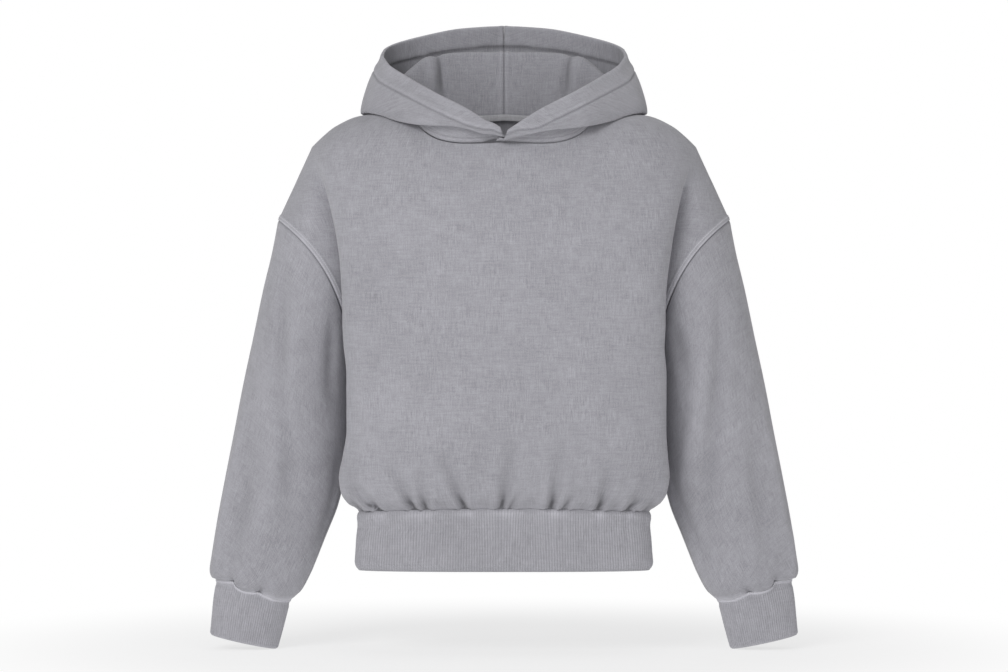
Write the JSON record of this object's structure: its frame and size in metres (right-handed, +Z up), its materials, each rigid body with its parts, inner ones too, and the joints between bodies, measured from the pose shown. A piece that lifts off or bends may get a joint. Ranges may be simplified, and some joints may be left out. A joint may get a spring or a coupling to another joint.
{
  "type": "pullover hoodie",
  "caption": "Cropped boxy pullover hoodie in washed grey fleece, filled out as if worn: laid-back hood, dropped shoulders, long sleeves, gathered rib cuffs and rib waistband.",
  "frame": {"origin": "the middle of the neck opening, where a wearer or a bust holds the garment up", "axes": "+X is to the right of the picture, +Y is to the back, +Z is up; the chest faces -Y"},
  "size_m": [0.7374, 0.272, 0.7934],
  "materials": {
    "front_panel_cloth": "washed cotton fleece, brushed inside, matte",
    "back_panel_cloth": "washed cotton fleece, brushed inside, matte",
    "sleeve_left_cloth": "washed cotton fleece, brushed inside, matte",
    "sleeve_right_cloth": "washed cotton fleece, brushed inside, matte",
    "cuff_left_cloth": "stonewashed cotton rib knit",
    "cuff_right_cloth": "stonewashed cotton rib knit",
    "waistband_rib_cloth": "stonewashed cotton rib knit",
    "hood_left_cloth": "washed cotton fleece, brushed inside, matte",
    "hood_right_cloth": "washed cotton fleece, brushed inside, matte",
    "neck_tape_cloth": "woven cotton tape"
  },
  "bodies": {
    "root": {"front_panel": "front_panel_cloth", "back_panel": "back_panel_cloth", "sleeve_left": "sleeve_left_cloth", "sleeve_right": "sleeve_right_cloth", "cuff_left": "cuff_left_cloth", "cuff_right": "cuff_right_cloth", "waistband_rib": "waistband_rib_cloth", "hood_left": "hood_left_cloth", "hood_right": "hood_right_cloth", "neck_tape": "neck_tape_cloth"}
  },
  "joints": []
}
